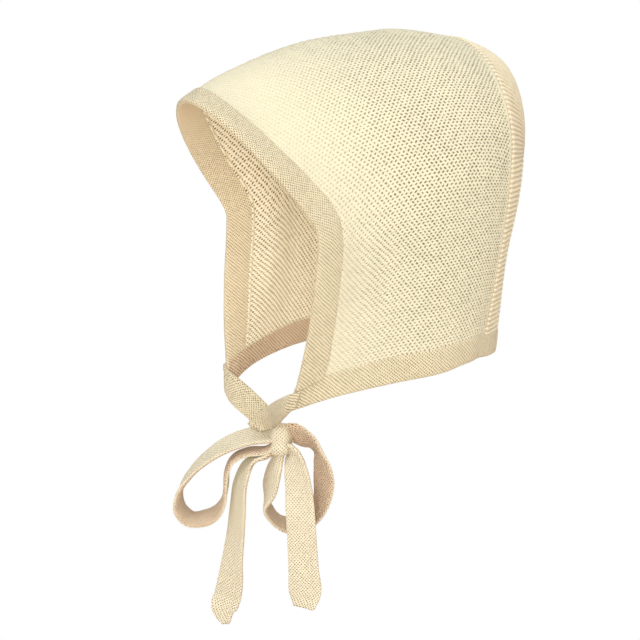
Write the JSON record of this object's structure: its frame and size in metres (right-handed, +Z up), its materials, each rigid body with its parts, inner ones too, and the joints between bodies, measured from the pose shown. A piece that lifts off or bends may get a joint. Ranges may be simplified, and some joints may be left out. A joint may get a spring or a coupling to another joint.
{
  "type": "baby bonnet",
  "caption": "Knitted baby bonnet with a textured crown and back, smooth bands round the face and neck, and ties fastened in a bow.",
  "frame": {"origin": "where the top of the head touches the inside of the crown", "axes": "+Z up, the wearer looks along -Y, the wearer's left is +X"},
  "size_m": [0.1206, 0.1846, 0.2959],
  "materials": {
    "textured_knit": "cream fine wool, hand knitted in a raised ridge stitch",
    "smooth_knit": "cream fine wool, knitted smooth and double"
  },
  "bodies": {
    "root": {"crown_panel": "textured_knit", "back_panel": "textured_knit", "front_band": "smooth_knit", "neck_band": "smooth_knit", "tie_left": "smooth_knit", "tie_right": "smooth_knit", "bow_knot": "smooth_knit", "bow_loop_left": "smooth_knit", "bow_loop_right": "smooth_knit", "tie_end_left": "smooth_knit", "tie_end_right": "smooth_knit"}
  },
  "joints": []
}
